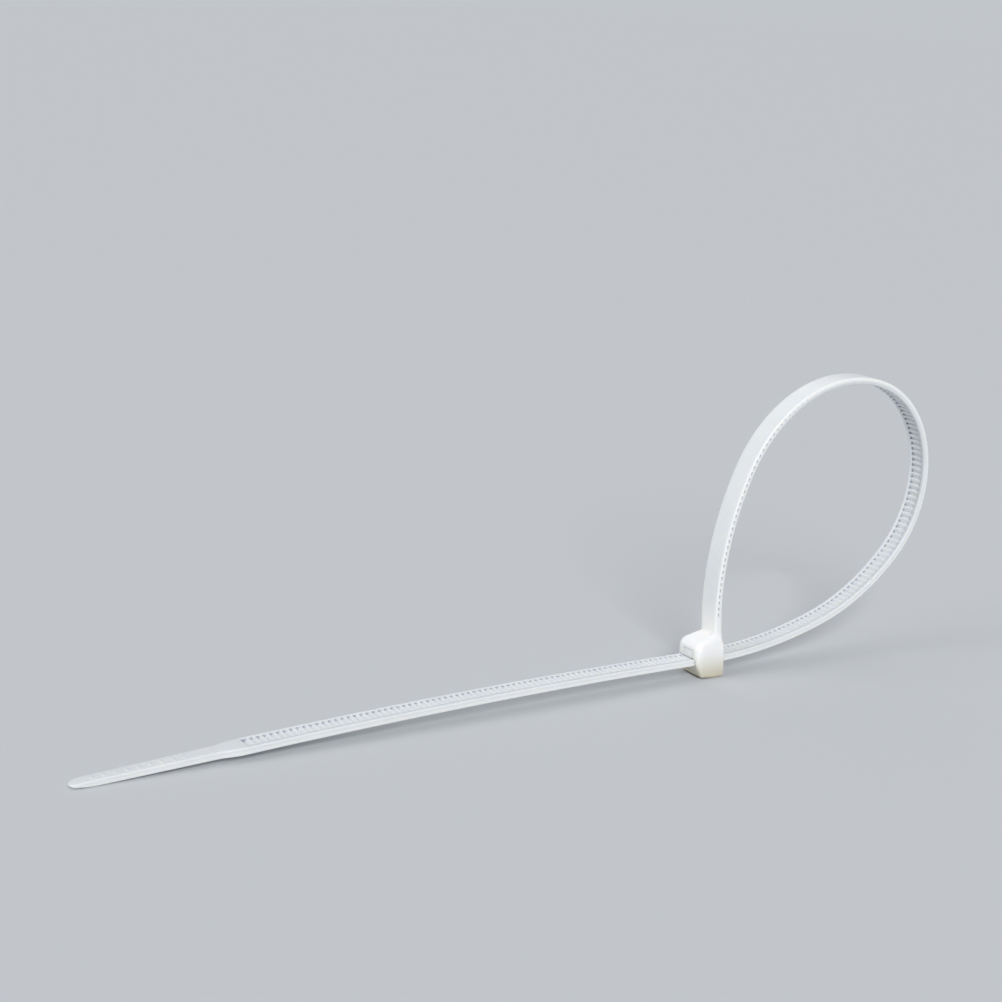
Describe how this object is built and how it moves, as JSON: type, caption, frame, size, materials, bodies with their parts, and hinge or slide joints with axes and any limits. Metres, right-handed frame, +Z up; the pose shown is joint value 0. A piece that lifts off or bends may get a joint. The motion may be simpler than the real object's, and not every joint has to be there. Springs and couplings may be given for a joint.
{
  "type": "cable tie",
  "caption": "Natural nylon cable tie closed into an upright teardrop loop: ratchet head with pawl, toothed strap led through the slot, tail tapering to a narrow rounded tip.",
  "frame": {"origin": "middle of the tie's footprint, on the surface it stands on", "axes": "+X along the tail towards the loop, +Y across the strap, +Z up"},
  "size_m": [0.1492, 0.0054, 0.0468],
  "materials": {
    "natural_nylon": "natural milky white nylon, satin as moulded"
  },
  "bodies": {
    "root": {"cable_tie": "natural_nylon"}
  },
  "joints": []
}
